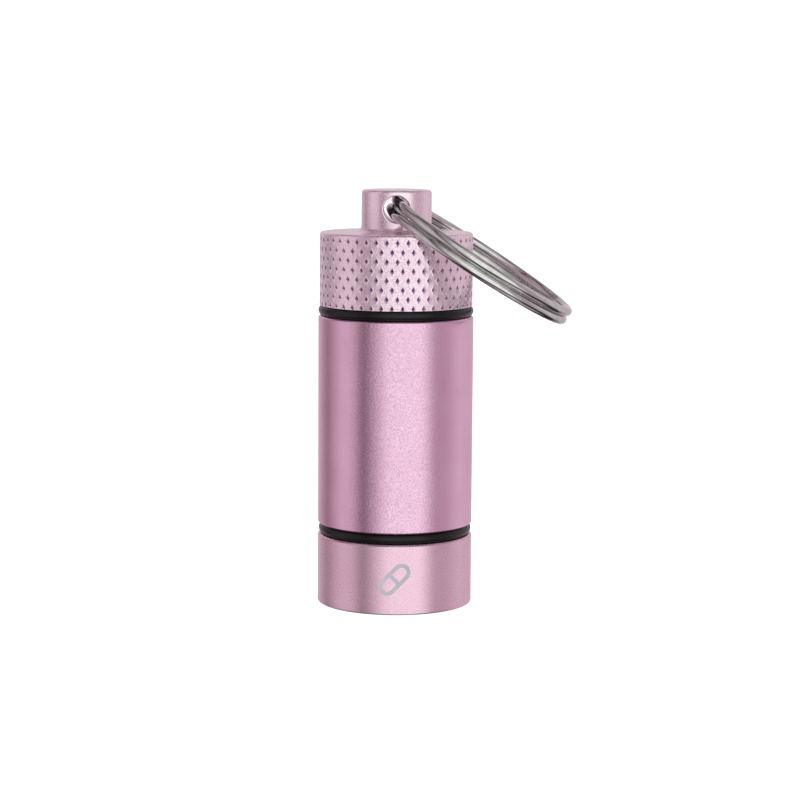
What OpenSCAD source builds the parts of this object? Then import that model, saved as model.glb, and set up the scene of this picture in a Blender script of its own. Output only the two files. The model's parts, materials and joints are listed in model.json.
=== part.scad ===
// Pocket pill splitter: a screw-together capsule worn on a key ring.
// The knurled cap closes a tube that stores tablets. Screwing up the base cup
// lifts a tablet, held in a V-shaped cradle, onto a fixed blade.
// Millimetres, +Z up. The origin is the centre of the base cup's underside.

/* [Shell] */
// Outside diameter of the body tube and the base cup
shell_d = 20; // [19.5:0.25:22]
// Height of the base cup
base_h = 9; // [9:0.25:11]
// Height of the body tube between its two seams
body_h = 27; // [24:0.5:40]
// Height of the cap's knurled skirt
cap_h = 9.4; // [9:0.1:12]
// Diameter of the cap's skirt over its knurl
cap_d = 19.65; // [19.3:0.05:19.8]
// Height of each seam, which an O-ring fills
seam_h = 1.3; // [1.2:0.05:1.5]
// Bore of the storage tube and of the splitter chamber
bore_d = 14.2; // [14:0.1:14.3]

/* [Lug] */
// Diameter of the lug on top of the cap
lug_d = 9; // [8.5:0.25:10]
// Height of the lug
lug_h = 5.4; // [5.2:0.1:8]
// Diameter of the cross hole through the lug
lug_hole_d = 3.3; // [3.3:0.1:4]
// Height of the cross hole above the lug's foot
lug_hole_h = 3.05; // [3:0.05:3.4]

/* [Key ring] */
// Radius of the key ring's centre line
ring_r = 13.1; // [12.9:0.1:16]
// Diameter of the key ring's wire
wire_d = 1.18; // [1:0.02:1.2]
// Angle by which the key ring droops below level on the cap's edge
ring_droop = 32.4; // [15:0.2:32.6]

/* [Threads] */
// Pitch of both screw threads
pitch = 1.25; // [1:0.05:1.3]
// Length of each threaded neck beyond its seam
neck_h = 5; // [4.5:0.25:5]

/* [Splitter] */
// Thickness of the blade
blade_t = 0.4; // [0.3:0.05:0.5]
// Width of the blade
blade_w = 12.6; // [11:0.1:12.8]
// Width of the cradle's slot that takes the blade
slot_w = 0.9; // [0.7:0.05:1.2]
// Angle between the cradle's V wall and the blade
v_angle = 35; // [30:1:40]

/* [Hidden] */
$fn = 96;

anodised = "#d6a5c3";
steel = "#c4c6c3";
black_rubber = "#26221f";
acetal = "#ececea";
silicone = "#d9dcdf";

big = 60;
shell_r = shell_d / 2;
bore_r = bore_d / 2;

// Heights of the seams and the lug
body_z = base_h + seam_h;
body_top = body_z + body_h;
cap_z = body_top + seam_h;
cap_top = cap_z + cap_h;
hole_z = cap_top + lug_hole_h;
edge_break = 0.25;
cap_edge_r = 0.35;
cap_roof_t = 2;
foot_fillet_r = 0.5;

// Threads: the body's two necks are male, and the cap and base cup are female
thread_depth = 0.5;
crest_r = shell_r - 1.55;
core_r = crest_r - thread_depth;
thread_gap = 0.1;
socket_r = crest_r + thread_gap;
ridge_crest_w = 0.26;
ridge_root_w = 0.84;
ridge_root_depth = 0.3;
ridge_fade_depth = 0.15;
steps_per_turn = 36;
fade_steps = 5;
thread_run_in = 0.6;
male_turns = floor((neck_h - 2 * thread_run_in) / pitch * 4) / 4;
female_turns = male_turns - 0.5;
neck_bottom = base_h - neck_h;
neck_top = cap_z + neck_h;

// Splitter, from the base cup's floor up to the bulkhead under the storage tube
floor_t = 1.4;
washer_t = 0.3;
flange_r = core_r - 0.03;
flange_bore_r = flange_r + 0.08;
flange_t = 1.3;
cradle_z = floor_t + washer_t;
flange_top = cradle_z + flange_t;
clip_t = 0.55;
clip_r = shell_r - 1.1;
clip_gap = 0.05;
groove_z = flange_top;
groove_h = clip_t + 2 * clip_gap;
turret_r = bore_r - 0.2;
pill_floor_z = flange_top + 1.2;
turret_top = base_h;
v_apex_x = -5.6;
pad_t = 0.5;
pad_start = 1.6;
pad_l = 8;
pad_h = turret_top - pill_floor_z - 0.6;
edge_z = pill_floor_z - 0.6;
bevel_h = 0.9;
holder_z = turret_top + 0.3;
holder_h = 4.5;
holder_r = bore_r - 0.05;
holder_top = holder_z + holder_h;
bulkhead_t = 2.6;
storage_z = holder_top + bulkhead_t;
blade_grip_h = 3;
pin_d = 1;
pin_x = 3.5;
pin_l = 11.6;
pin_z = holder_z + 1.8;
screw_d = 1.6;
screw_head_d = 3;
screw_head_h = 0.9;
screw_y = 4.4;
screw_bite = 1.8;
close_fit = 0.02;

// Key ring: the wire's two turns gape where they leave the lug at the front
ring_lean = 2;
ring_lift = 0.2;
ring_bow = 0.6;
turn_gap = 1.22;
gape = 0.3;
gape_angle = -20;
gape_spread = 12;
step_angle = 40;
step_half = 7;
wire_sides = 10;
wire_steps = 100;

// A trapezium swept up a right-handed helix. Its root is buried in the wall
// at surface_r, and its ends fade into it. tip_r is outside surface_r on a
// male thread and inside it on a female one.
module helix_ridge(surface_r, tip_r, z, turns) {
    n = round(turns * steps_per_turn);
    out = tip_r > surface_r ? 1 : -1;
    root_r = surface_r - out * ridge_root_depth;
    faded_r = surface_r - out * ridge_fade_depth;
    points = [
        for (i = [0 : n])
            let (
                a = i * 360 / steps_per_turn,
                rise = z + i * pitch / steps_per_turn,
                full = min(1, i / fade_steps, (n - i) / fade_steps),
                r = faded_r + full * (tip_r - faded_r)
            )
            for (p = [
                [root_r, -ridge_root_w / 2], [r, -ridge_crest_w / 2],
                [r, ridge_crest_w / 2], [root_r, ridge_root_w / 2]
            ])
                [p[0] * cos(a), p[0] * sin(a), rise + out * p[1]]
    ];
    sides = [
        for (i = [0 : n - 1], k = [0 : 3])
            let (a = 4 * i + k, b = 4 * i + (k + 1) % 4)
            each [[a, b, b + 4], [a, b + 4, a + 4]]
    ];
    first = [3, 2, 1, 0];
    last = [for (k = [0 : 3]) 4 * n + k];
    polyhedron(points, concat([first], sides, [last]));
}

// A male thread whose neck starts at z
module male_thread(z) {
    helix_ridge(core_r, crest_r, z + thread_run_in, male_turns);
}

// The female thread that meshes with it, half a pitch higher
module female_thread(z) {
    helix_ridge(socket_r, core_r + thread_gap, z + thread_run_in + pitch / 2, female_turns);
}

// A disc with its outside edges cut back
module chamfered_cylinder(r, h, c) {
    rotate_extrude()
        polygon([[0, 0], [r - c, 0], [r, c], [r, h - c], [r - c, h], [0, h]]);
}

// A disc whose top edge is rounded
module rounded_top_cylinder(r, h, edge) {
    rotate_extrude() {
        square([r - edge, h]);
        square([r, h - edge]);
        translate([r - edge, h - edge]) intersection() {
            circle(edge);
            square(edge);
        }
    }
}

// A round bar or hole along Y
module cross_cylinder(d, length) {
    rotate([90, 0, 0]) cylinder(d = d, h = length, center = true);
}

module knurled_cap() {
    color(anodised) {
        difference() {
            union() {
                translate([0, 0, cap_z]) rounded_top_cylinder(cap_d / 2, cap_h, cap_edge_r);
                translate([0, 0, cap_top]) lug();
            }
            translate([0, 0, cap_z - 1]) cylinder(r = socket_r, h = neck_h + 1.3);
            translate([0, 0, cap_z]) cylinder(r = bore_r + 0.4, h = cap_h - cap_roof_t);
            translate([0, 0, hole_z]) cross_cylinder(lug_hole_d, lug_d + 2);
        }
        female_thread(cap_z);
    }
}

module lug() {
    r = lug_d / 2;
    rounded_top_cylinder(r, lug_h, cap_edge_r);
    rotate_extrude() difference() {
        translate([r - edge_break, 0]) square([foot_fillet_r + edge_break, foot_fillet_r]);
        translate([r + foot_fillet_r, foot_fillet_r]) circle(foot_fillet_r);
    }
}

// Distance between the wire's two turns at angle a, counted from the lug
function turn_distance(a) =
    let (off = ((a - gape_angle + 540) % 360) - 180)
    turn_gap + gape * exp(-pow(off / gape_spread, 2));

// Side of the ring's middle plane that the wire is on at turn angle a: the
// lower turn is -1, the upper one +1, and the wire steps up between them
function wire_side(a) =
    let (t = (a - (360 + step_angle - step_half)) / (2 * step_half))
    t <= 0 ? -1 : t >= 1 ? 1 : -cos(180 * t);

// A split ring of round wire, threaded through the lug's cross hole
module key_ring() {
    first = step_angle + step_half;
    last = 720 + step_angle - step_half;
    points = [
        for (i = [0 : wire_steps])
            let (
                a = first + (last - first) * i / wire_steps,
                z = ring_lift + wire_side(a) * turn_distance(a) / 2
            )
            for (k = [0 : wire_sides - 1])
                let (
                    b = 360 * k / wire_sides + 90,
                    r = ring_r + wire_d / 2 * cos(b)
                )
                [ring_r - ring_bow - r * cos(a), r * sin(a), z + wire_d / 2 * sin(b)]
    ];
    sides = [
        for (i = [0 : wire_steps - 1], k = [0 : wire_sides - 1])
            let (a = wire_sides * i + k, b = wire_sides * i + (k + 1) % wire_sides)
            each [[a, a + wire_sides, b + wire_sides], [a, b + wire_sides, b]]
    ];
    start_face = [for (k = [0 : wire_sides - 1]) k];
    end_face = [for (k = [wire_sides - 1 : -1 : 0]) wire_sides * wire_steps + k];
    color(steel)
        translate([0, 0, hole_z])
            rotate([ring_lean, ring_droop, 0])
                polyhedron(points, concat([start_face], sides, [end_face]));
}

// A rubber ring pressed flat between two faces, with its outside at outer_r
module o_ring(z, outer_r) {
    section_d = outer_r - crest_r - thread_gap / 2;
    height = seam_h - close_fit;
    color(black_rubber)
        translate([0, 0, z + seam_h / 2])
            rotate_extrude() intersection() {
                translate([outer_r - section_d / 2, 0]) circle(d = section_d);
                translate([0, -height / 2]) square([shell_d, height]);
            }
}

module cap_o_ring() {
    o_ring(body_top, shell_r);
}

module base_o_ring() {
    o_ring(base_h, shell_r - 0.1);
}

module body_tube() {
    color(anodised) {
        difference() {
            union() {
                translate([0, 0, body_z]) chamfered_cylinder(shell_r, body_h, edge_break);
                translate([0, 0, base_h]) cylinder(r = crest_r, h = seam_h + 1);
                translate([0, 0, body_top - 1]) cylinder(r = crest_r, h = seam_h + 1);
                translate([0, 0, neck_bottom])
                    chamfered_cylinder(core_r, neck_top - neck_bottom, edge_break);
            }
            translate([0, 0, storage_z]) cylinder(r = bore_r, h = big);
            translate([0, 0, holder_top - big]) cylinder(r = bore_r, h = big);
            for (side = [-1, 1])
                translate([0, side * screw_y, holder_top - 1])
                    cylinder(d = screw_d + 2 * close_fit, h = screw_bite + 1.2);
        }
        male_thread(cap_z);
        male_thread(neck_bottom);
    }
}

module base_cup() {
    color(anodised) {
        difference() {
            translate([0, 0, base_h]) mirror([0, 0, 1])
                rounded_top_cylinder(shell_r, base_h, cap_edge_r);
            translate([0, 0, floor_t]) cylinder(r = flange_bore_r, h = big);
            translate([0, 0, groove_z]) cylinder(r = clip_r + clip_gap, h = groove_h);
            translate([0, 0, neck_bottom - 0.3]) cylinder(r = socket_r, h = big);
        }
        female_thread(neck_bottom);
    }
}

// A moulded disc that grips the blade's back, under the bulkhead
module blade_holder() {
    color(acetal) difference() {
        translate([0, 0, holder_z]) chamfered_cylinder(holder_r, holder_h, edge_break);
        translate([0, 0, holder_z + blade_grip_h / 2])
            cube([
                blade_w + 4 * close_fit, blade_t + 2 * close_fit, blade_grip_h + 2 * close_fit
            ], center = true);
        for (side = [-1, 1]) {
            translate([side * pin_x, 0, pin_z]) cross_cylinder(pin_d + close_fit, shell_d);
            translate([0, side * screw_y, holder_z]) screw_hole();
        }
    }
}

module screw_hole() {
    translate([0, 0, -1]) cylinder(d = screw_d + 0.2, h = holder_h + 2);
    translate([0, 0, -close_fit])
        cylinder(d1 = screw_head_d + 0.2, d2 = screw_d + 0.2, h = screw_head_h);
}

// The blade's section is drawn in its Y-Z plane and extruded along X
module cutting_blade() {
    color(steel) difference() {
        translate([-blade_w / 2, 0, 0]) rotate([90, 0, 90])
            linear_extrude(blade_w)
                polygon([
                    [0, edge_z], [blade_t / 2, edge_z + bevel_h], [blade_t / 2, holder_z + blade_grip_h],
                    [-blade_t / 2, holder_z + blade_grip_h], [-blade_t / 2, edge_z + bevel_h]
                ]);
        for (side = [-1, 1])
            translate([side * pin_x, 0, pin_z]) cross_cylinder(pin_d + close_fit, 2);
    }
}

module blade_pin(side) {
    color(steel) translate([side * pin_x, 0, pin_z]) cross_cylinder(pin_d, pin_l);
}

module holder_screw(side) {
    color(steel) translate([0, side * screw_y, holder_z]) difference() {
        union() {
            cylinder(d1 = screw_head_d, d2 = screw_d, h = screw_head_h - 0.1);
            cylinder(d = screw_d, h = holder_h + screw_bite - 0.1);
        }
        cube([0.4, screw_head_d + 1, 0.7], center = true);
    }
}

// The cradle turns freely in the base cup, and the blade keys into its slot
module pill_cradle() {
    color(acetal) difference() {
        union() {
            translate([0, 0, cradle_z]) cylinder(r = flange_r, h = flange_t);
            translate([0, 0, cradle_z]) cylinder(r = turret_r, h = turret_top - cradle_z);
        }
        translate([v_apex_x, 0, pill_floor_z]) linear_extrude(big)
            polygon([[0, 0], [big, big * tan(v_angle)], [big, -big * tan(v_angle)]]);
        translate([-shell_d / 2, -slot_w / 2, flange_top]) cube([shell_d, slot_w, big]);
    }
}

// A strip of silicone bonded to one V wall: side is -1 at the front, +1 at the rear
module grip_pad(side) {
    color(silicone)
        translate([v_apex_x, 0, pill_floor_z + 0.3])
            mirror([0, side > 0 ? 1 : 0, 0])
                rotate([0, 0, -v_angle])
                    translate([pad_start, 0, 0]) cube([pad_l, pad_t, pad_h]);
}

// A snap ring with two eyes for pliers, in the groove above the cradle's flange
module cradle_clip() {
    ear_r = 0.8;
    band_w = 1.1;
    opening = 16;
    color(steel) translate([0, 0, groove_z + clip_gap]) difference() {
        union() {
            difference() {
                cylinder(r = clip_r, h = clip_t);
                translate([0, 0, -1]) cylinder(r = clip_r - band_w, h = clip_t + 2);
                translate([0, 0, -1]) linear_extrude(clip_t + 2)
                    polygon([[0, 0], [big, big * tan(opening)], [big, -big * tan(opening)]]);
            }
            for (side = [-1, 1])
                rotate([0, 0, side * (opening + 4)])
                    translate([clip_r - ear_r - 0.1, 0, 0]) cylinder(r = ear_r, h = clip_t);
        }
        for (side = [-1, 1])
            rotate([0, 0, side * (opening + 4)])
                translate([clip_r - ear_r - 0.1, 0, -1]) cylinder(r = 0.35, h = clip_t + 2);
    }
}

module thrust_washer() {
    color(acetal) translate([0, 0, floor_t]) difference() {
        cylinder(r = flange_r - 0.1, h = washer_t);
        translate([0, 0, -1]) cylinder(r = 3, h = washer_t + 2);
    }
}

knurled_cap();
key_ring();
cap_o_ring();
body_tube();
base_o_ring();
base_cup();
blade_holder();
cutting_blade();
blade_pin(-1);  // blade_pin_left
blade_pin(1);  // blade_pin_right
holder_screw(-1);  // holder_screw_front
holder_screw(1);  // holder_screw_rear
pill_cradle();
grip_pad(-1);  // grip_pad_front
grip_pad(1);  // grip_pad_rear
cradle_clip();
thrust_washer();
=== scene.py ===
"""The looks of the pocket pill splitter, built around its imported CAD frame.

Shapes are worked out in millimetres and stored in metres. Each builder below makes
one kind of surface, and the section at the end lists the pieces and what they ride on.
"""

import json
import math

import bmesh
import bpy
import numpy as np
from mathutils import Matrix, Vector


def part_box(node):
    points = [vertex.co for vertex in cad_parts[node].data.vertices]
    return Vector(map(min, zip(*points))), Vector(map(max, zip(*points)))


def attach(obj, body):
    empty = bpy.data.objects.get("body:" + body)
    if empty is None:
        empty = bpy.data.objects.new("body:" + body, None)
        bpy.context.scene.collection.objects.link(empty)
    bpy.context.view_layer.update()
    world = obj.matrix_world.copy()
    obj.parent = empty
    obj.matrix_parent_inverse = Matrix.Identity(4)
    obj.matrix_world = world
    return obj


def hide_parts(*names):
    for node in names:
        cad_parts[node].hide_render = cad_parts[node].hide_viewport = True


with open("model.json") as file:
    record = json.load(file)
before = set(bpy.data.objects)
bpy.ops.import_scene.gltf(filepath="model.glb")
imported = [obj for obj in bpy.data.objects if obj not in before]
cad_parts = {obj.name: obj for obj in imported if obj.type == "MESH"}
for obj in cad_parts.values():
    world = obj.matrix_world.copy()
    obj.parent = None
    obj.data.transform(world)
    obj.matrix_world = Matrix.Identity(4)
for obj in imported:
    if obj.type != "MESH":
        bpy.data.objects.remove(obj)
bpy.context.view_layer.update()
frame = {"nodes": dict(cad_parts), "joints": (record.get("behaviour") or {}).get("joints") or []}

MM = 0.001
TAU = 2 * math.pi


# ---------------------------------------------------------------- sizes, in millimetres

def node_box(node):
    """The lowest and highest corners of a CAD node, in millimetres."""
    low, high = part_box(node)
    return np.array(low) / MM, np.array(high) / MM


TUBE_LOW, TUBE_HIGH = node_box("body_tube")
CUP_HIGH = node_box("base_cup")[1]
CAP_LOW, CAP_HIGH = node_box("knurled_cap")
UPPER_SEAL_LOW, UPPER_SEAL_HIGH = node_box("cap_o_ring")
LOWER_SEAL_LOW, LOWER_SEAL_HIGH = node_box("base_o_ring")
CLIP_LOW, CLIP_HIGH = node_box("cradle_clip")
WASHER_LOW, WASHER_HIGH = node_box("thrust_washer")

SHELL_R = CUP_HIGH[0]
CAP_R = CAP_HIGH[0]
BASE_H = CUP_HIGH[2]
CAP_Z = CAP_LOW[2]
LUG_TOP = CAP_HIGH[2]
SEAM_H = 1.3
BODY_Z = BASE_H + SEAM_H
BODY_TOP = CAP_Z - SEAM_H
CAP_H = 9.4
CAP_TOP = CAP_Z + CAP_H
LUG_R = 4.5
LUG_HOLE_R = 1.65
LUG_SEAT_R = 6.5
LUG_SEAT_H = 0.5
NECK_BOTTOM = TUBE_LOW[2]
NECK_TOP = TUBE_HIGH[2]
BORE_R = 7.1
CREST_R = SHELL_R - 1.55
THREAD_DEPTH = 0.5
CORE_R = CREST_R - THREAD_DEPTH
SOCKET_R = CREST_R + 0.1
PITCH = 1.25
THREAD_RUN_IN = 0.6
THREAD_STEP = 0.05
MALE_TURNS = 3.0
FEMALE_TURNS = 2.5
CHAMBER_TOP = node_box("blade_holder")[1][2]
STORAGE_Z = CHAMBER_TOP + 2.6
EDGE = 0.25

HINGE = next(j for j in frame["joints"] if j["name"] == "ring_swing")
HOLE_Z = HINGE["pos_m"][2] / MM


# ---------------------------------------------------------------- mesh builders

def arc(centre_r, centre_z, radius, start, end, steps):
    """Points (r, z) along an arc, from one angle to another in degrees."""
    angles = np.radians(np.linspace(start, end, steps + 1))
    return [(centre_r + radius * math.cos(a), centre_z + radius * math.sin(a)) for a in angles]


class Surface:
    """Collects rings of points round the Z axis and the faces between them."""

    def __init__(self):
        self.points = []
        self.faces = []
        # Painted shade for the knurl's pits, by point.
        self.painted_pit_shade = {}

    def ring(self, r, z, angles):
        r = np.broadcast_to(r, angles.shape)
        z = np.broadcast_to(z, angles.shape)
        first = len(self.points)
        self.points.extend(zip(r * np.cos(angles), r * np.sin(angles), z))
        return list(range(first, first + len(angles)))

    def pole(self, z):
        self.points.append((0.0, 0.0, z))
        return len(self.points) - 1

    def bridge(self, a, b):
        n = len(a)
        self.faces.extend((a[i], a[(i + 1) % n], b[(i + 1) % n], b[i]) for i in range(n))

    def bridge_halved(self, fine, coarse):
        """Joins a ring to one with half as many points."""
        n, m = len(fine), len(coarse)
        for k in range(m):
            a, b, c = fine[2 * k], fine[2 * k + 1], fine[(2 * k + 2) % n]
            d, e = coarse[k], coarse[(k + 1) % m]
            self.faces.extend([(a, b, d), (b, e, d), (b, c, e)])

    def fan(self, ring, pole):
        n = len(ring)
        self.faces.extend((ring[i], ring[(i + 1) % n], pole) for i in range(n))

    def sweep(self, profile, angles, start=None):
        """Joins a ring for each (r, z) of the profile, onto the start ring if there is one."""
        last = start
        for r, z in profile:
            ring = self.ring(r, z, angles)
            if last is not None:
                self.bridge(last, ring)
            last = ring
        return last


def round_angles(count, shift=0.0):
    return (np.arange(count) + shift) * TAU / count


def smooth_object(name, points, faces, sharp_deg=32):
    """A mesh object in metres, smooth shaded but for edges sharper than sharp_deg."""
    mesh = bpy.data.meshes.new(name)
    mesh.from_pydata([tuple(c * MM for c in p) for p in points], [], faces)
    work = bmesh.new()
    work.from_mesh(mesh)
    bmesh.ops.recalc_face_normals(work, faces=work.faces)
    if work.calc_volume(signed=True) < 0:
        bmesh.ops.reverse_faces(work, faces=work.faces)
    work.to_mesh(mesh)
    work.free()
    shade(mesh, sharp_deg)
    obj = bpy.data.objects.new(name, mesh)
    bpy.context.scene.collection.objects.link(obj)
    return obj


def shade(mesh, sharp_deg):
    mesh.polygons.foreach_set("use_smooth", [True] * len(mesh.polygons))
    mesh.set_sharp_from_angle(angle=math.radians(sharp_deg))
    mesh.update()


def cut_away(obj, cutter, sharp_deg):
    """Cuts the cutter's shape out of obj for good, and removes the cutter."""
    cut = obj.modifiers.new("cut", "BOOLEAN")
    cut.operation, cut.solver, cut.object = "DIFFERENCE", "EXACT", cutter
    bpy.context.view_layer.update()
    baked = bpy.data.meshes.new_from_object(obj.evaluated_get(bpy.context.evaluated_depsgraph_get()))
    obj.modifiers.clear()
    obj.data = baked
    shade(baked, sharp_deg)
    bpy.data.objects.remove(cutter)
    return obj


def ridge_height(z, angles, thread_z, turns):
    """Height of a helical thread's ridge, from 0 to 1, at one level all the way round."""
    crest_w, root_w, fade_turns = 0.26, 0.84, 5 / 36
    offset = z - thread_z - PITCH * angles / TAU
    off = (offset + PITCH / 2) % PITCH - PITCH / 2
    turn = (offset - off) / PITCH + angles / TAU
    fade = np.clip(np.minimum(turn, turns - turn) / fade_turns, 0, 1)
    flank = np.clip((root_w / 2 - np.abs(off)) / (root_w / 2 - crest_w / 2), 0, 1)
    return fade * flank


def thread_rings(surface, start, angles, z_from, z_to, surface_r, tip_r, thread_z, turns):
    """A threaded cylinder between two levels, joined onto the start ring."""
    last = start
    count = max(2, round(abs(z_to - z_from) / THREAD_STEP))
    for z in np.linspace(z_from, z_to, count + 1):
        r = surface_r + (tip_r - surface_r) * ridge_height(z, angles, thread_z, turns)
        ring = surface.ring(r, z, angles)
        surface.bridge(last, ring)
        last = ring
    return last


def sweep_tube(centres, sideways, upwards, radius, sides, end_round):
    """Points and faces of a round wire along centres, with rounded-over ends."""
    points, faces = [], []
    n = len(centres)
    for i, (c, u, v) in enumerate(zip(centres, sideways, upwards)):
        from_end = min(i, n - 1 - i)
        shrink = 1 - end_round * max(0, 3 - from_end) ** 2 / 9
        for k in range(sides):
            a = TAU * k / sides
            points.append(c + radius * shrink * (math.cos(a) * u + math.sin(a) * v))
    for i in range(n - 1):
        for k in range(sides):
            a, b = sides * i + k, sides * i + (k + 1) % sides
            faces.append((a, b, b + sides, a + sides))
    faces.append(tuple(range(sides - 1, -1, -1)))
    faces.append(tuple(sides * (n - 1) + k for k in range(sides)))
    return points, faces


# ---------------------------------------------------------------- materials

def material(name, color, metallic=0.0, roughness=0.5, **sockets):
    """A Principled material with constants on its own sockets; returns it and its nodes."""
    mat = bpy.data.materials.new(name)
    mat.use_nodes = True
    nodes, links = mat.node_tree.nodes, mat.node_tree.links
    shader = nodes["Principled BSDF"]
    shader.inputs["Base Color"].default_value = (*color, 1)
    shader.inputs["Metallic"].default_value = metallic
    shader.inputs["Roughness"].default_value = roughness
    for key, value in sockets.items():
        shader.inputs[key.replace("_", " ")].default_value = value
    return mat, nodes, links, shader


def object_noise(nodes, links, scale, detail=3.0, stretch=(1, 1, 1)):
    """Noise fixed to the object; scale is in cells per metre."""
    coords = nodes.new("ShaderNodeTexCoord")
    mapping = nodes.new("ShaderNodeMapping")
    mapping.inputs["Scale"].default_value = stretch
    noise = nodes.new("ShaderNodeTexNoise")
    noise.inputs["Scale"].default_value = scale
    noise.inputs["Detail"].default_value = detail
    links.new(coords.outputs["Object"], mapping.inputs["Vector"])
    links.new(mapping.outputs["Vector"], noise.inputs["Vector"])
    return noise


def remap(nodes, links, source, low, high, from_low=0.3, from_high=0.7):
    node = nodes.new("ShaderNodeMapRange")
    node.inputs["From Min"].default_value = from_low
    node.inputs["From Max"].default_value = from_high
    node.inputs["To Min"].default_value = low
    node.inputs["To Max"].default_value = high
    links.new(source, node.inputs["Value"])
    return node.outputs["Result"]


def tint(nodes, links, factor, first, second):
    """Mixes two colours, each given as three numbers or as a socket."""
    node = nodes.new("ShaderNodeMix")
    node.data_type = "RGBA"
    for key, value in (("A", first), ("B", second)):
        if isinstance(value, tuple):
            node.inputs[key].default_value = (*value, 1)
        else:
            links.new(value, node.inputs[key])
    links.new(factor, node.inputs["Factor"])
    return node.outputs["Result"]


def bump(nodes, links, shader, height, distance_mm, strength=1.0):
    node = nodes.new("ShaderNodeBump")
    node.inputs["Distance"].default_value = distance_mm * MM
    node.inputs["Strength"].default_value = strength
    links.new(height, node.inputs["Height"])
    links.new(node.outputs["Normal"], shader.inputs["Normal"])
    return node


def multiply(nodes, links, a, b):
    node = nodes.new("ShaderNodeMath")
    node.operation = "MULTIPLY"
    links.new(a, node.inputs[0])
    links.new(b, node.inputs[1])
    return node.outputs["Value"]


def anodised(name, color, grain_mm, grain_depth, roughness, painted_sparkle, film=0.0, front=(-9.4, -8.0),
             painted_pit_shade=False):
    """Bead-blasted aluminium under a sealed film coloured by dyeing.

    film is the share of light that the coloured film scatters before it reaches the metal.
    front is where along Y, in millimetres, the painted specks fade from full to slight: dark specks painted
    into the colour, mostly on the camera side, stand in for the glints of the blasted surface and dim its
    front.
    The sixth argument is how much those painted specks darken the colour.
    The last argument paints shade into the colour by the mesh's "pit" attribute, darker in the knurl's pits.
    """
    mat, nodes, links, shader = material(name, color, 1 - film, roughness)
    shader.inputs["Coat Weight"].default_value = 0.10
    shader.inputs["Coat Roughness"].default_value = 0.22
    grain = object_noise(nodes, links, 1 / (grain_mm * MM), 2.0)
    cloud = object_noise(nodes, links, 220, 3.0)
    deep = tuple(c * s for c, s in zip(color, (0.95, 0.90, 0.93)))
    tone_and_painted_shade = tint(nodes, links, remap(nodes, links, cloud.outputs["Fac"], 0, 1), color, deep)
    # Painted glints: dark specks painted into the colour, full on the camera side and slight behind it, in
    # place of the glints that the blasted surface catches.
    speck = object_noise(nodes, links, 1 / (0.15 * MM), 0.5)
    coords = nodes.new("ShaderNodeTexCoord")
    parts = nodes.new("ShaderNodeSeparateXYZ")
    links.new(coords.outputs["Object"], parts.inputs["Vector"])
    painted_sparkle_reach = remap(nodes, links, parts.outputs["Y"], 1.0, 0.2, front[0] * MM, front[1] * MM)
    painted_sparkle_amount = multiply(nodes, links, painted_sparkle_reach, remap(nodes, links, speck.outputs["Fac"], 0, 1))
    painted_speck_shade = tuple(c * (1 - painted_sparkle) for c in color)
    tone_and_painted_shade = tint(nodes, links, painted_sparkle_amount, tone_and_painted_shade, painted_speck_shade)
    # Painted shade: the colour is darkened in the knurl's pits, more in their upper halves.
    if painted_pit_shade:
        depth = nodes.new("ShaderNodeAttribute")
        depth.attribute_name = "pit"
        tone_and_painted_shade = tint(nodes, links, depth.outputs["Fac"], tone_and_painted_shade, PIT_SHADE_COLOUR)
    links.new(tone_and_painted_shade, shader.inputs["Base Color"])
    links.new(remap(nodes, links, grain.outputs["Fac"], roughness - 0.05, roughness + 0.06),
              shader.inputs["Roughness"])
    bump(nodes, links, shader, grain.outputs["Fac"], grain_depth)
    return mat


def plated_steel():
    """Bright nickel plate: slightly wavy wire with soft handling marks and duller patches."""
    clean, dulled = (0.75, 0.762, 0.735), (0.61, 0.62, 0.595)
    mat, nodes, links, shader = material("bright_nickel", clean, 1.0, 0.08)
    wear = object_noise(nodes, links, 900, 4.0)
    waves = object_noise(nodes, links, 380, 1.0)
    worn = remap(nodes, links, wear.outputs["Fac"], 0, 1)
    links.new(tint(nodes, links, worn, clean, dulled), shader.inputs["Base Color"])
    links.new(remap(nodes, links, wear.outputs["Fac"], 0.05, 0.13), shader.inputs["Roughness"])
    bump(nodes, links, shader, waves.outputs["Fac"], 0.06)
    return mat


def moulded(name, color, roughness, grain_mm=0.12, depth=0.003, **sockets):
    """A moulded plastic or rubber with a fine skin texture."""
    mat, nodes, links, shader = material(name, color, 0.0, roughness, **sockets)
    skin = object_noise(nodes, links, 1 / (grain_mm * MM), 3.0)
    cloud = object_noise(nodes, links, 300, 2.0)
    darker = tuple(c * 0.86 for c in color)
    links.new(tint(nodes, links, remap(nodes, links, cloud.outputs["Fac"], 0, 1), color, darker),
              shader.inputs["Base Color"])
    links.new(remap(nodes, links, cloud.outputs["Fac"], roughness - 0.06, roughness + 0.06),
              shader.inputs["Roughness"])
    bump(nodes, links, shader, skin.outputs["Fac"], depth)
    return mat


def ground_steel(name, color, roughness, stretch):
    """Stainless steel with grinding lines; stretch is long where the lines cross."""
    mat, nodes, links, shader = material(name, color, 1.0, roughness)
    lines = object_noise(nodes, links, 6000, 3.0, stretch)
    links.new(remap(nodes, links, lines.outputs["Fac"], roughness - 0.08, roughness + 0.10),
              shader.inputs["Roughness"])
    bump(nodes, links, shader, lines.outputs["Fac"], 0.002)
    return mat


# Painted shade: the colour painted into the knurl's pits in place of the shade that falls in them.
PIT_SHADE_COLOUR = (0.30, 0.13, 0.34)
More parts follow.
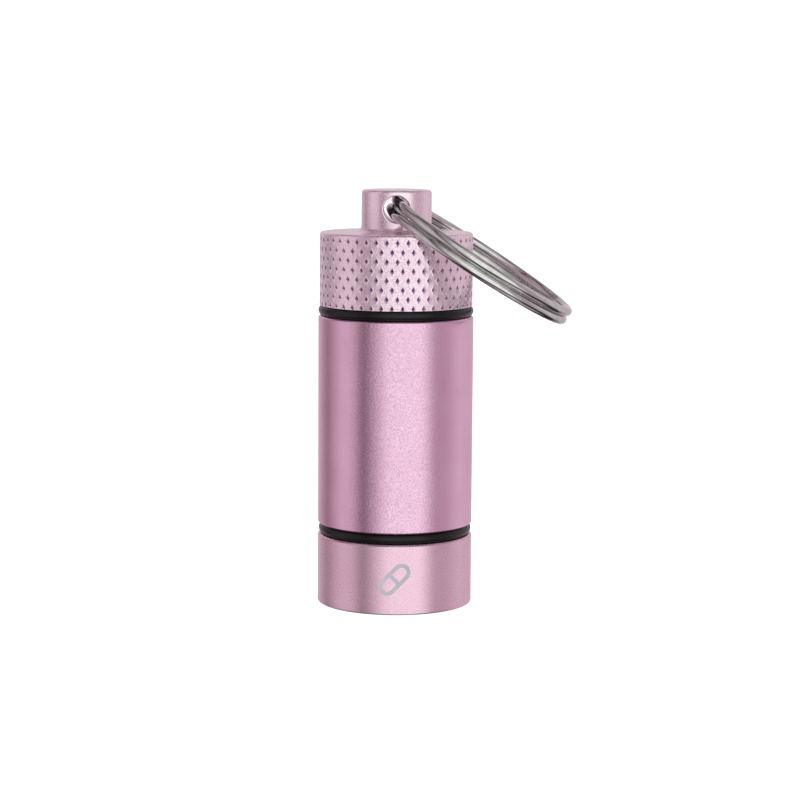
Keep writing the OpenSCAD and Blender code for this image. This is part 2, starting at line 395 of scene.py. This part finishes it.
# The sixth argument sets painted specks on the camera side that stand in for glints; the cap's last argument
# adds painted shade in its pits.
ANODISED_BODY = anodised("anodised_blasted", (0.96, 0.63, 0.82), 0.17, 0.012, 0.21, 0.30)
ANODISED_BASE = anodised("anodised_turned", (0.87, 0.61, 0.72), 0.15, 0.006, 0.24, 0.10, 0.08)
ANODISED_CAP = anodised("anodised_knurled", (0.99, 0.81, 0.90), 0.16, 0.014, 0.22, 0.40, 0.12,
                        (-9.9, -8.9), True)
NICKEL = plated_steel()
RUBBER = moulded("black_nitrile", (0.005, 0.004, 0.004), 0.24, Specular_IOR_Level=0.3)
ACETAL = moulded("white_acetal", (0.83, 0.83, 0.80), 0.38)
PTFE = moulded("white_ptfe", (0.88, 0.88, 0.86), 0.45)
SILICONE = moulded("grey_silicone", (0.45, 0.48, 0.51), 0.55, Subsurface_Weight=0.15)
BLADE_STEEL = ground_steel("ground_blade", (0.66, 0.67, 0.68), 0.24, (0.05, 1, 1))
HARDWARE_STEEL = ground_steel("turned_stainless", (0.60, 0.60, 0.61), 0.28, (1, 1, 0.2))
MARK = moulded("laser_mark", (0.38, 0.38, 0.42), 0.55, 0.05, 0.002)


# ---------------------------------------------------------------- the pink shells

def build_body_tube():
    """The tube, its two threaded necks, and the bulkhead between its two bores."""
    s = Surface()
    angles = round_angles(192)
    inner_round = 0.4
    top = s.ring(BORE_R - inner_round, STORAGE_Z, angles)
    s.fan(top, s.pole(STORAGE_Z))
    last = s.sweep(arc(BORE_R - inner_round, STORAGE_Z + inner_round, inner_round, -80, 0, 6), angles, top)
    last = s.sweep([(BORE_R, STORAGE_Z + 1), (BORE_R, NECK_TOP - 0.2), (BORE_R + 0.15, NECK_TOP),
                    (CORE_R - EDGE, NECK_TOP), (CORE_R, NECK_TOP - EDGE)], angles, last)
    last = thread_rings(s, last, angles, NECK_TOP - EDGE - 0.05, CAP_Z + 0.1, CORE_R, CREST_R,
                        CAP_Z + THREAD_RUN_IN, MALE_TURNS)
    last = s.sweep(shell_outline(), angles, last)
    last = thread_rings(s, last, angles, BASE_H - 0.1, NECK_BOTTOM + EDGE + 0.05, CORE_R, CREST_R,
                        NECK_BOTTOM + THREAD_RUN_IN, MALE_TURNS)
    last = s.sweep([(CORE_R, NECK_BOTTOM + EDGE), (CORE_R - EDGE, NECK_BOTTOM), (BORE_R + 0.15, NECK_BOTTOM),
                    (BORE_R, NECK_BOTTOM + 0.2), (BORE_R, CHAMBER_TOP - 0.1), (BORE_R, CHAMBER_TOP)],
                   angles, last)
    s.fan(last, s.pole(CHAMBER_TOP))
    return smooth_object("body_tube_shell", s.points, s.faces)


def shell_outline():
    """(r, z) down the outside of the tube, with the seams' lands and broken edges."""
    e = EDGE - 0.03
    return [
        (CORE_R, CAP_Z), (CREST_R - 0.06, CAP_Z), (CREST_R, CAP_Z - 0.06), (CREST_R, BODY_TOP),
        *edge_outline(SHELL_R, BODY_TOP, e, -1),
        (SHELL_R, BODY_TOP - 1), (SHELL_R, (BODY_TOP + BODY_Z) / 2), (SHELL_R, BODY_Z + 1),
        *reversed(edge_outline(SHELL_R, BODY_Z, e, 1)),
        (CREST_R, BODY_Z), (CREST_R, BASE_H + 0.06), (CREST_R - 0.06, BASE_H), (CORE_R, BASE_H),
    ]


def edge_outline(r, z, e, way):
    """A machined 45 degree edge break from a flat face at z round to a cylinder of radius r."""
    soft = 0.05
    return [
        (r - e - soft, z), (r - e, z + way * 0.012), (r - e + soft * 0.7, z + way * soft * 0.7),
        (r - soft * 0.5, z + way * (e - soft * 0.5)), (r - 0.006, z + way * e), (r, z + way * (e + soft)),
    ]


def build_base_cup():
    """The cup: rounded underside, threaded socket, clip groove and the cradle's seat."""
    s = Surface()
    angles = round_angles(192)
    rim = 0.2
    flange_bore_r = CORE_R + 0.05
    floor_z = WASHER_LOW[2]
    groove_low, groove_high = CLIP_LOW[2] - 0.05, CLIP_HIGH[2] + 0.05
    groove_r = SHELL_R - 1.05
    first = s.ring(SHELL_R - rim, 0, angles)
    s.fan(first, s.pole(0))
    last = s.sweep(arc(SHELL_R - rim, rim, rim, -80, 0, 8), angles, first)
    last = s.sweep([(SHELL_R, 1.5), (SHELL_R, BASE_H / 2), (SHELL_R, BASE_H - 1)], angles, last)
    last = s.sweep(list(reversed(edge_outline(SHELL_R, BASE_H, EDGE - 0.03, -1))), angles, last)
    last = s.sweep([(SOCKET_R + 0.25, BASE_H), (SOCKET_R, BASE_H - 0.25)], angles, last)
    last = thread_rings(s, last, angles, BASE_H - 0.3, NECK_BOTTOM - 0.25, SOCKET_R, CORE_R + 0.1,
                        NECK_BOTTOM + THREAD_RUN_IN + PITCH / 2, FEMALE_TURNS)
    last = s.sweep([(SOCKET_R, groove_high), (groove_r, groove_high), (groove_r, groove_low),
                    (flange_bore_r, groove_low), (flange_bore_r, floor_z + 0.15),
                    (flange_bore_r - 0.15, floor_z)], angles, last)
    s.fan(last, s.pole(floor_z))
    return smooth_object("base_cup_shell", s.points, s.faces)


# The cap's knurl: diamond pits pressed in staggered rows. The grid's rows are level,
# and every second row is shifted by half a step, so that grid lines follow the diamonds.
PITS_ROUND = 46
STEPS_PER_PIT = 10
GRID_ROWS = 77
PIT_STEPS = 2
PIT_DEPTH = 0.30
PIT_LIP = 0.02
KNURL_TOP = CAP_TOP - 0.35
FIRST_PIT_ROW = 5
PIT_TURN = math.radians(1.0)
# Painted shade in the pits: how far out towards each pit's rim it spreads, and how much lighter the lower
# half of each pit is painted, as if lit from above.
PIT_SHADE_REACH = 1.7
LOWER_PIT_SHADE = 0.3


def knurl_rings(surface, start, per_row):
    """The knurled skirt, joined onto the start ring at KNURL_TOP; returns the lowest ring."""
    row_h = (KNURL_TOP - CAP_Z) / GRID_ROWS
    rows = [start]
    for row in range(1, GRID_ROWS + 1):
        half = row % 2
        column = 2 * np.arange(per_row) + half
        depth = pit_depth(row, column)
        rows.append(surface.ring(CAP_R - depth, KNURL_TOP - row * row_h, knurl_angles(per_row, half / 2)))
        # Painted shade: full in a pit's upper half and lighter in its lower half, as if lit from above.
        past_centre = (row - FIRST_PIT_ROW) % STEPS_PER_PIT
        pit_shade = LOWER_PIT_SHADE if 0 < past_centre < STEPS_PER_PIT / 2 else 1.0
        surface.painted_pit_shade.update(zip(rows[-1], pit_shade * np.clip(PIT_SHADE_REACH * depth / PIT_DEPTH, 0, 1)))
    for row in range(GRID_ROWS + 1):
        for k in range(per_row):
            add_diamond(surface, rows, row, k, per_row)
    return rows[-1]


def knurl_angles(per_row, shift):
    """Level rows' angles: a pit of the first row faces the front, turned by PIT_TURN."""
    front = -TAU / 4 + PIT_TURN
    return round_angles(per_row, shift) + front - TAU * FIRST_PIT_ROW / (2 * per_row)


def pit_depth(row, column):
    """Depth at a grid point. Along each diagonal, a pit lies every STEPS_PER_PIT steps."""
    a = (column + row - 2 * FIRST_PIT_ROW) // 2
    b = (column - row) // 2
    off_a, off_b = (np.abs((d + STEPS_PER_PIT // 2) % STEPS_PER_PIT - STEPS_PER_PIT // 2) for d in (a, b))
    off = np.maximum(off_a, off_b)
    return PIT_DEPTH * np.clip(1 - off / PIT_STEPS, 0, 1) - PIT_LIP * (off == PIT_STEPS)


def add_diamond(surface, rows, row, k, per_row):
    """The two faces between a level row's neighbours and the points above and below them.

    They meet along the pit's crease: level through a pit's middle row, upright elsewhere.
    """
    left, right = rows[row][k - 1], rows[row][k]
    column = (k - 1 + row % 2) % per_row
    above = rows[row - 1][column] if row > 0 else None
    below = rows[row + 1][column] if row < GRID_ROWS else None
    if above is None:
        surface.faces.append((left, below, right))
    elif below is None:
        surface.faces.append((left, right, above))
    elif row % STEPS_PER_PIT == FIRST_PIT_ROW:
        surface.faces.extend([(left, below, right), (left, right, above)])
    else:
        surface.faces.extend([(left, below, above), (above, below, right)])


def build_cap_shell():
    """The knurled cap without its lug: rim, knurl, threaded socket and cavity."""
    s = Surface()
    per_row = PITS_ROUND * STEPS_PER_PIT
    level = knurl_angles(per_row, 0)
    seat = s.ring(LUG_SEAT_R, CAP_TOP - LUG_SEAT_H, level)
    s.fan(seat, s.pole(CAP_TOP - LUG_SEAT_H))
    rim = CAP_TOP - KNURL_TOP
    top = s.sweep([(LUG_SEAT_R, CAP_TOP), *arc(CAP_R - rim, KNURL_TOP, rim, 90, 0, 8)], level, seat)
    bottom = knurl_rings(s, top, per_row)
    mouth = s.ring(SOCKET_R + 0.25, CAP_Z, knurl_angles(per_row, (GRID_ROWS % 2) / 2))
    s.bridge(bottom, mouth)
    coarse = knurl_angles(per_row // 2, (GRID_ROWS % 2) / 4)
    last = s.ring(SOCKET_R, CAP_Z + 0.25, coarse)
    s.bridge_halved(mouth, last)
    last = thread_rings(s, last, coarse, CAP_Z + 0.3, NECK_TOP + 0.25, SOCKET_R, CORE_R + 0.1,
                        CAP_Z + THREAD_RUN_IN + PITCH / 2, FEMALE_TURNS)
    cavity_r, cavity_top, cavity_round = BORE_R + 0.4, CAP_TOP - 2, 0.3
    last = s.sweep([(SOCKET_R, NECK_TOP + 0.3), (cavity_r, NECK_TOP + 0.3), (cavity_r, NECK_TOP + 1),
                    *arc(cavity_r - cavity_round, cavity_top - cavity_round, cavity_round, 0, 90, 5)],
                   coarse, last)
    s.fan(last, s.pole(cavity_top))
    shell = smooth_object("knurled_cap_shell", s.points, s.faces)
    # Stores the painted pit shade on the mesh as its pit attribute.
    pit_shade = shell.data.attributes.new("pit", "FLOAT", "POINT")
    pit_shade.data.foreach_set("value", [float(s.painted_pit_shade.get(i, 0)) for i in range(len(s.points))])
    return shell


def build_cap_lug():
    """The lug, with its filleted foot and a cross hole whose mouths are rounded over."""
    s = Surface()
    angles = knurl_angles(PITS_ROUND * STEPS_PER_PIT, 0)
    first = s.ring(LUG_SEAT_R, CAP_TOP - LUG_SEAT_H, angles)
    s.fan(first, s.pole(CAP_TOP - LUG_SEAT_H))
    foot_r, top_r = 0.9, 0.42
    side = [(LUG_R, z) for z in np.linspace(CAP_TOP + foot_r, LUG_TOP - top_r, 44)]
    profile = [
        (LUG_SEAT_R, CAP_TOP),
        *arc(LUG_R + foot_r, CAP_TOP + foot_r, foot_r, -90, -174, 7),
        *side,
        *arc(LUG_R - top_r, LUG_TOP - top_r, top_r, 8, 90, 8),
    ]
    last = s.sweep(profile, angles, first)
    s.fan(last, s.pole(LUG_TOP))
    lug = smooth_object("cap_lug", s.points, s.faces)
    return cut_away(lug, build_hole_cutter(), 34)


def build_hole_cutter():
    """A bar along Y whose ends flare out where they pass through the lug's side."""
    around = round_angles(96)
    x, z = np.cos(around), np.sin(around)
    flare = 0.22
    turns = np.radians(np.linspace(0, 66, 6))
    steps = [(flare * (1 - math.cos(t)), flare * (math.sin(t) - 1)) for t in turns]
    steps.append((steps[-1][0] + 0.5, steps[-1][1] + 0.5 / math.tan(turns[-1])))
    points, faces, rings = [], [], []

    def add_ring(r, y):
        rings.append(list(range(len(points), len(points) + len(around))))
        points.extend(zip(r * x, np.broadcast_to(y, x.shape), HOLE_Z + r * z))

    def add_mouth_ring(grow, out, side):
        r = LUG_HOLE_R + grow
        add_ring(r, side * (np.sqrt(LUG_R ** 2 - (r * x) ** 2) + out))

    add_ring(LUG_HOLE_R, -LUG_R - 1)
    for grow, out in reversed(steps):
        add_mouth_ring(grow, out, -1)
    for grow, out in steps:
        add_mouth_ring(grow, out, 1)
    add_ring(LUG_HOLE_R, LUG_R + 1)
    for a, b in zip(rings, rings[1:]):
        n = len(a)
        faces.extend((a[i], a[(i + 1) % n], b[(i + 1) % n], b[i]) for i in range(n))
    faces.extend([tuple(rings[0]), tuple(reversed(rings[-1]))])
    return smooth_object("hole_cutter", points, faces)


# ---------------------------------------------------------------- key ring

def build_key_ring():
    """Two turns of round wire through the lug, with softened ends."""
    ring_r, wire_r, bow, lift = 13.1, 0.606, 0.6, 0.2
    gap, gape, gape_at, gape_spread = 1.22, 0.3, -20, 12
    step_from, step_to = 393, 407
    turns = np.linspace(47, 753, 521)
    side = -np.cos(math.pi * np.clip((turns - step_from) / (step_to - step_from), 0, 1))
    off = (turns - gape_at + 540) % 360 - 180
    height = lift + side * (gap + gape * np.exp(-(off / gape_spread) ** 2)) / 2
    a = np.radians(turns)
    tilt = Matrix.Rotation(math.radians(32.4), 3, "Y") @ Matrix.Rotation(math.radians(2), 3, "X")
    tilt = np.array(tilt)
    flat = np.stack([ring_r - bow - ring_r * np.cos(a), ring_r * np.sin(a), height], axis=1)
    out = np.stack([-np.cos(a), np.sin(a), np.zeros_like(a)], axis=1)
    up = np.tile([0.0, 0.0, 1.0], (len(a), 1))
    centres = flat @ tilt.T + np.array([0, 0, HOLE_Z])
    points, faces = sweep_tube(centres, out @ tilt.T, up @ tilt.T, wire_r, 28, 0.3)
    return smooth_object("key_ring_wire", points, faces)


# ---------------------------------------------------------------- seals and internals

def build_seal(name, low, high):
    """An O-ring squeezed between two faces, with the fine flash line of its mould."""
    s = Surface()
    outer, inner = high[0], CREST_R + 0.05
    mid_z, half_h = (low[2] + high[2]) / 2, (high[2] - low[2]) / 2
    mid_r, half_r = (outer + inner) / 2, (outer - inner) / 2
    profile = []
    for k in range(48):
        a = TAU * k / 48
        flash = 0.012 if k == 0 else 0
        r, z = half_r * math.cos(a), np.clip(half_r * math.sin(a), -half_h, half_h)
        profile.append((mid_r + r - 0.012 + flash, mid_z + z))
    first = s.sweep(profile[:1], round_angles(192))
    last = s.sweep(profile[1:], round_angles(192), first)
    s.bridge(last, first)
    return smooth_object(name, s.points, s.faces, 60)


def build_washer():
    """A skived PTFE washer with softened edges."""
    s = Surface()
    low, high = WASHER_LOW[2], WASHER_HIGH[2]
    outer, inner, e = WASHER_HIGH[0], 3.0, 0.04
    profile = [(inner + e, low), (outer - e, low), (outer, low + e), (outer, high - e),
               (outer - e, high), (inner + e, high), (inner, high - e), (inner, low + e)]
    first = s.sweep(profile[:1], round_angles(128))
    last = s.sweep(profile[1:], round_angles(128), first)
    s.bridge(last, first)
    return smooth_object("thrust_washer_disc", s.points, s.faces)


def lathe_along(name, profile, count, pose):
    """A turned part given as (r, z) from end to end, then moved by a matrix in millimetres."""
    s = Surface()
    angles = round_angles(count)
    first = s.ring(*profile[0], angles)
    s.fan(first, s.pole(profile[0][1]))
    last = s.sweep(profile[1:], angles, first)
    s.fan(last, s.pole(profile[-1][1]))
    points = [tuple(pose @ Vector(p)) for p in s.points]
    return smooth_object(name, points, s.faces)


def build_pin(name, node):
    """A dowel pin across the holder, with domed ends."""
    low, high = node_box(node)
    mid, r, half = (low + high) / 2, (high[0] - low[0]) / 2, (high[1] - low[1]) / 2
    e = 0.16
    profile = [*arc(r - e, e - half, e, -90, 0, 4), *arc(r - e, half - e, e, 0, 90, 4)]
    pose = Matrix.Translation(Vector(mid)) @ Matrix.Rotation(math.pi / 2, 4, "X")
    return lathe_along(name, profile, 40, pose)


def build_screw(name, node):
    """A slotted countersunk screw with a rolled thread, head downwards."""
    low, high = node_box(node)
    head_r, r, z0, z1 = (high[0] - low[0]) / 2, 0.8, low[2], high[2]
    neck = z0 + 0.8
    profile = [(head_r - 0.06, z0), (head_r, z0 + 0.06), (r, neck)]
    thread_pitch, crest = 0.35, 0.02
    crests = int((z1 - 0.2 - neck - 0.3) / thread_pitch)
    for k in range(crests):
        z = neck + 0.3 + k * thread_pitch
        profile += [(r - crest, z), (r - 0.15, z + thread_pitch * 0.45), (r - crest, z + thread_pitch * 0.88)]
    profile += [(r - 0.15, z1 - 0.12), (r - 0.3, z1)]
    centre = Vector(((low[0] + high[0]) / 2, (low[1] + high[1]) / 2, 0))
    screw = lathe_along(name, profile, 48, Matrix.Translation(centre))
    bpy.ops.mesh.primitive_cube_add(size=1, location=(0, (low[1] + high[1]) / 2 * MM, z0 * MM))
    slot = bpy.context.object
    slot.scale = (0.42 * MM, 5 * MM, 0.72 * MM)
    return cut_away(screw, slot, 32)


def soften(node, width_mm):
    """Breaks a CAD node's edges, as moulding or tumbling would."""
    obj = frame["nodes"][node]
    bevel = obj.modifiers.new("edge_break", "BEVEL")
    bevel.width = width_mm * MM
    bevel.segments = 2
    bevel.limit_method = "ANGLE"
    bevel.angle_limit = math.radians(35)
    bevel.harden_normals = True
    return obj


def build_mark():
    """A small generic mark lasered on the cup: a slanted capsule outline with a bar across it."""
    centre_z, length, width, line, proud = 4.6, 4.9, 2.3, 0.52, 0.015
    slant = math.radians(45)
    cap_r, half = width / 2, (length - width) / 2
    outline = []
    for start, shift in ((-90, half), (90, -half)):
        for a in np.radians(np.linspace(start, start + 180, 25)):
            outline.append((shift, math.cos(a), math.sin(a)))
        outline += [(shift * k / 5, 0.0, outline[-1][2]) for k in range(4, -5, -1)]
    points, faces = [], []

    def put(u, v):
        across = u * math.cos(slant) - v * math.sin(slant)
        up = u * math.sin(slant) + v * math.cos(slant)
        a = -TAU / 4 + across / SHELL_R
        for r in (SHELL_R - 0.02, SHELL_R + proud):
            points.append((r * math.cos(a), r * math.sin(a), centre_z + up))

    def link(a, b):
        faces.extend([(a + 1, a + 3, b + 3, b + 1), (a + 3, a + 2, b + 2, b + 3),
                      (a + 2, a, b, b + 2), (a, a + 1, b + 1, b)])

    n = len(outline)
    for shift, c, s in outline:
        put(shift + (cap_r - line) * c, (cap_r - line) * s)
        put(shift + cap_r * c, cap_r * s)
    for i in range(n):
        link(4 * i, 4 * ((i + 1) % n))
    base = len(points)
    rungs = np.linspace(-(cap_r - line), cap_r - line, 9)
    for v in rungs:
        put(-line / 2, v)
        put(line / 2, v)
    for i in range(len(rungs) - 1):
        link(base + 4 * i, base + 4 * (i + 1))
    last = base + 4 * (len(rungs) - 1)
    faces += [(base, base + 1, base + 3, base + 2), (last, last + 2, last + 3, last + 1)]
    return smooth_object("base_mark", points, faces)


# ---------------------------------------------------------------- pieces and what they ride on

def place(obj, mat, body, slot, *nodes):
    obj.data.materials.clear()
    obj.data.materials.append(mat)
    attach(obj, body)
    if nodes:
        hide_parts(*nodes)
    return obj


place(build_body_tube(), ANODISED_BODY, "body", "anodised_body", "body_tube")
place(build_base_cup(), ANODISED_BASE, "base", "anodised_body", "base_cup")
place(build_mark(), MARK, "base", "anodised_body")
place(build_cap_shell(), ANODISED_CAP, "cap", "anodised_cap", "knurled_cap")
place(build_cap_lug(), ANODISED_CAP, "cap", "anodised_cap", "knurled_cap")
place(build_key_ring(), NICKEL, "ring", "plated_steel", "key_ring")
place(build_seal("cap_o_ring_seal", UPPER_SEAL_LOW, UPPER_SEAL_HIGH), RUBBER, "cap_seal", "black_rubber",
      "cap_o_ring")
place(build_seal("base_o_ring_seal", LOWER_SEAL_LOW, LOWER_SEAL_HIGH), RUBBER, "body", "black_rubber",
      "base_o_ring")
place(build_washer(), PTFE, "base", "ptfe", "thrust_washer")
for node in ("blade_pin_left", "blade_pin_right"):
    place(build_pin(node + "_dowel", node), HARDWARE_STEEL, "body", "stainless_hardware", node)
for node in ("holder_screw_front", "holder_screw_rear"):
    place(build_screw(node + "_slotted", node), HARDWARE_STEEL, "body", "stainless_hardware", node)

CAD_FINISHES = {
    "blade_holder": (ACETAL, 0.12), "pill_cradle": (ACETAL, 0.10), "cutting_blade": (BLADE_STEEL, 0.015),
    "cradle_clip": (HARDWARE_STEEL, 0.05), "grip_pad_front": (SILICONE, 0.12),
    "grip_pad_rear": (SILICONE, 0.12),
}
for node, (finish, edge) in CAD_FINISHES.items():
    kept = soften(node, edge)
    for index in range(len(kept.material_slots)):
        kept.material_slots[index].material = finish


# ---------------------------------------------------------------- studio

# Brightness by azimuth in degrees from the camera's side, positive towards +X
STUDIO_BANDS = [
    (-180, 0.7), (-150, 0.6), (-120, 0.3), (-85, 0.7), (-65, 0.65),  # back, and the left strip light
    (-48, 0.2), (-25, 0.75), (-10, 1.1), (40, 1.15),  # gap, then the broad key light in front
    (60, 0.5), (80, 0.5), (110, 0.7), (150, 0.6), (180, 0.7),  # right-hand fill
]
# Tint that the dimmest parts of the studio take from its surroundings
DIM_TINT = (1.0, 0.6, 0.8)
# Brightness by height above the horizon in degrees
STUDIO_HEIGHTS = [
    (-90, 0.7), (-66, 0.5), (-56, 0.06), (-43, 0.05), (-35, 0.5), (-24, 1.0), (34, 0.95), (46, 0.35),
    (58, 0.85), (70, 0.12), (90, 0.55),
]


def studio_world():
    """What the metal mirrors: broad softboxes with darker gaps. The camera sees plain white."""
    world = bpy.data.worlds.new("studio")
    bpy.context.scene.world = world
    world.use_nodes = True
    nodes, links = world.node_tree.nodes, world.node_tree.links
    background = nodes["Background"]
    coords = nodes.new("ShaderNodeTexCoord")
    parts = nodes.new("ShaderNodeSeparateXYZ")
    links.new(coords.outputs["Generated"], parts.inputs["Vector"])
    turn = nodes.new("ShaderNodeMath")
    turn.operation = "ARCTAN2"
    backwards = nodes.new("ShaderNodeMath")
    backwards.operation = "MULTIPLY"
    backwards.inputs[1].default_value = -1
    links.new(parts.outputs["Y"], backwards.inputs[0])
    links.new(parts.outputs["X"], turn.inputs[0])
    links.new(backwards.outputs["Value"], turn.inputs[1])
    bands = nodes.new("ShaderNodeValToRGB")
    links.new(remap(nodes, links, turn.outputs["Value"], 0, 1, -math.pi, math.pi), bands.inputs["Fac"])
    stops = []
    for azimuth, level in STUDIO_BANDS:
        dim = max(0, 1 - level)
        stops.append(((azimuth + 180) / 360, tuple(level * (1 - dim * (1 - t)) for t in DIM_TINT)))
    fill_ramp(bands.color_ramp, stops)
    heights = nodes.new("ShaderNodeValToRGB")
    links.new(remap(nodes, links, parts.outputs["Z"], 0, 1, -1, 1), heights.inputs["Fac"])
    fill_ramp(heights.color_ramp,
              [((math.sin(math.radians(e)) + 1) / 2, (v, v, v)) for e, v in STUDIO_HEIGHTS])
    both = nodes.new("ShaderNodeMix")
    both.data_type, both.blend_type = "RGBA", "MULTIPLY"
    both.inputs["Factor"].default_value = 1
    links.new(bands.outputs["Color"], both.inputs["A"])
    links.new(heights.outputs["Color"], both.inputs["B"])
    path = nodes.new("ShaderNodeLightPath")
    pick = nodes.new("ShaderNodeMix")
    pick.data_type = "RGBA"
    pick.inputs["B"].default_value = (1.1, 1.1, 1.1, 1)
    links.new(path.outputs["Is Camera Ray"], pick.inputs["Factor"])
    links.new(both.outputs["Result"], pick.inputs["A"])
    links.new(pick.outputs["Result"], background.inputs["Color"])


def fill_ramp(ramp, stops):
    ramp.interpolation = "LINEAR"
    while len(ramp.elements) > 1:
        ramp.elements.remove(ramp.elements[-1])
    for index, (position, color) in enumerate(stops):
        element = ramp.elements[0] if index == 0 else ramp.elements.new(position)
        element.position = position
        element.color = (*color, 1)


def add_floor():
    """A pale floor. Its opening lets the base cup be seen when it is unscrewed downwards."""
    rings = [(SHELL_R + 0.5, 0), (60, 0), (400, 0), (12000, 0)]
    s = Surface()
    s.sweep(rings, round_angles(96))
    mesh = bpy.data.meshes.new("studio_floor")
    mesh.from_pydata([tuple(c * MM for c in p) for p in s.points], [], [f[::-1] for f in s.faces])
    floor = bpy.data.objects.new("studio_floor", mesh)
    bpy.context.scene.collection.objects.link(floor)
    mat, nodes, links, shader = material("pale_floor", (0.9, 0.9, 0.9), 0.0, 0.9)
    shader.inputs["Emission Color"].default_value = (1, 1, 1, 1)
    shader.inputs["Emission Strength"].default_value = 0.8
    speck = object_noise(nodes, links, 400, 2.0)
    bump(nodes, links, shader, speck.outputs["Fac"], 0.01, 0.3)
    mesh.materials.append(mat)
    floor.visible_glossy = False


def add_soft_light(name, spot, aim, size, power):
    data = bpy.data.lights.new(name, "AREA")
    data.size = size
    data.energy = power
    lamp = bpy.data.objects.new(name, data)
    bpy.context.scene.collection.objects.link(lamp)
    lamp.location = spot
    lamp.rotation_euler = (Vector(aim) - Vector(spot)).to_track_quat("-Z", "Y").to_euler()
    lamp.visible_camera = False
    lamp.visible_glossy = False


def add_camera():
    """A long lens a little above the object and nearly level, as a product shot is taken."""
    distance, elevation = 301.85 * MM, math.radians(7.277)
    aim_z, yaw, roll = 26.244 * MM, math.radians(0.113), math.radians(-0.370)
    right = Vector((1, 0, 0))
    up = Vector((0, math.sin(elevation), math.cos(elevation)))
    ahead = Vector((0, math.cos(elevation), -math.sin(elevation)))
    right, ahead = (math.cos(yaw) * right - math.sin(yaw) * ahead,
                    math.sin(yaw) * right + math.cos(yaw) * ahead)
    right, up = (math.cos(roll) * right - math.sin(roll) * up,
                 math.sin(roll) * right + math.cos(roll) * up)
    data = bpy.data.cameras.new("portrait")
    data.sensor_width = 36
    data.lens = 104.94
    data.clip_start = 0.01
    data.clip_end = 100
    camera = bpy.data.objects.new("portrait", data)
    bpy.context.scene.collection.objects.link(camera)
    camera.matrix_world = Matrix((
        (right.x, up.x, -ahead.x, 0),
        (right.y, up.y, -ahead.y, -distance * math.cos(elevation)),
        (right.z, up.z, -ahead.z, aim_z + distance * math.sin(elevation)),
        (0, 0, 0, 1),
    ))
    bpy.context.scene.camera = camera


studio_world()
add_floor()
add_soft_light("overhead_softbox", (-0.15, -0.25, 0.6), (0, 0, 0.03), 0.5, 3.0)
add_camera()
bpy.context.scene.view_settings.view_transform = "Standard"
